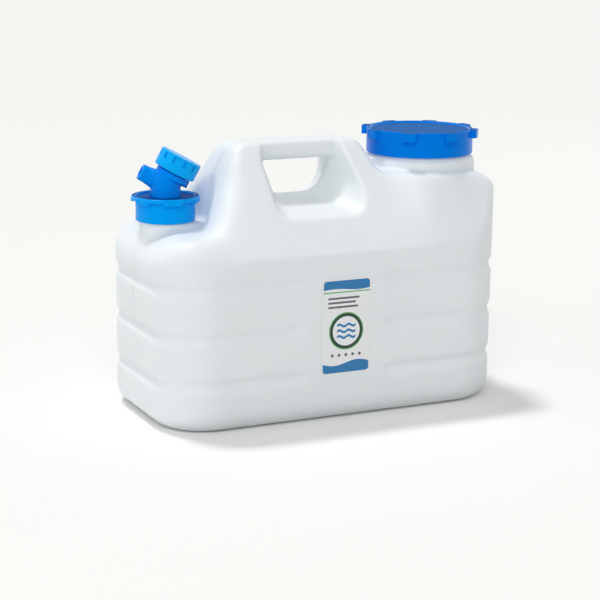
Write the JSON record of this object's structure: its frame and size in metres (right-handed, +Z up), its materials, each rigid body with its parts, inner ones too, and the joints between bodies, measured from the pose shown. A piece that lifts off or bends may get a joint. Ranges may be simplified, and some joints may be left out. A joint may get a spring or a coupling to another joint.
{
  "type": "water jerrycan with tap",
  "caption": "Blow-moulded water can with a carry handle through its top, a wide screw lid at one end and a small cap with a turning tap at the other.",
  "frame": {"origin": "centre of the flat base, on the surface the can stands on", "axes": "+Z up, +X along the can's length from the tap's end to the wide lid's end, -Y out of the front face that carries the label"},
  "size_m": [0.3527, 0.1793, 0.2565],
  "materials": {
    "milky_polyethylene": "satin",
    "printed_film": "satin",
    "blue_lid_plastic": "gloss",
    "blue_cap_plastic": "gloss",
    "blue_tap_plastic": "gloss",
    "blue_knob_plastic": "gloss"
  },
  "bodies": {
    "can": {"can_body": "milky_polyethylene", "label": "printed_film", "wide_lid": "blue_lid_plastic", "tap_cap": "blue_cap_plastic", "tap_body": "blue_tap_plastic"},
    "knob": {"tap_knob": "blue_knob_plastic"}
  },
  "joints": [
    {"name": "knob_turn", "type": "hinge", "parent": "can", "child": "knob", "pos_m": [-0.13826, -0.00118, 0.22118], "axis": [0.4555, -0.1136, 0.8829], "range_deg": [0, 180]}
  ]
}
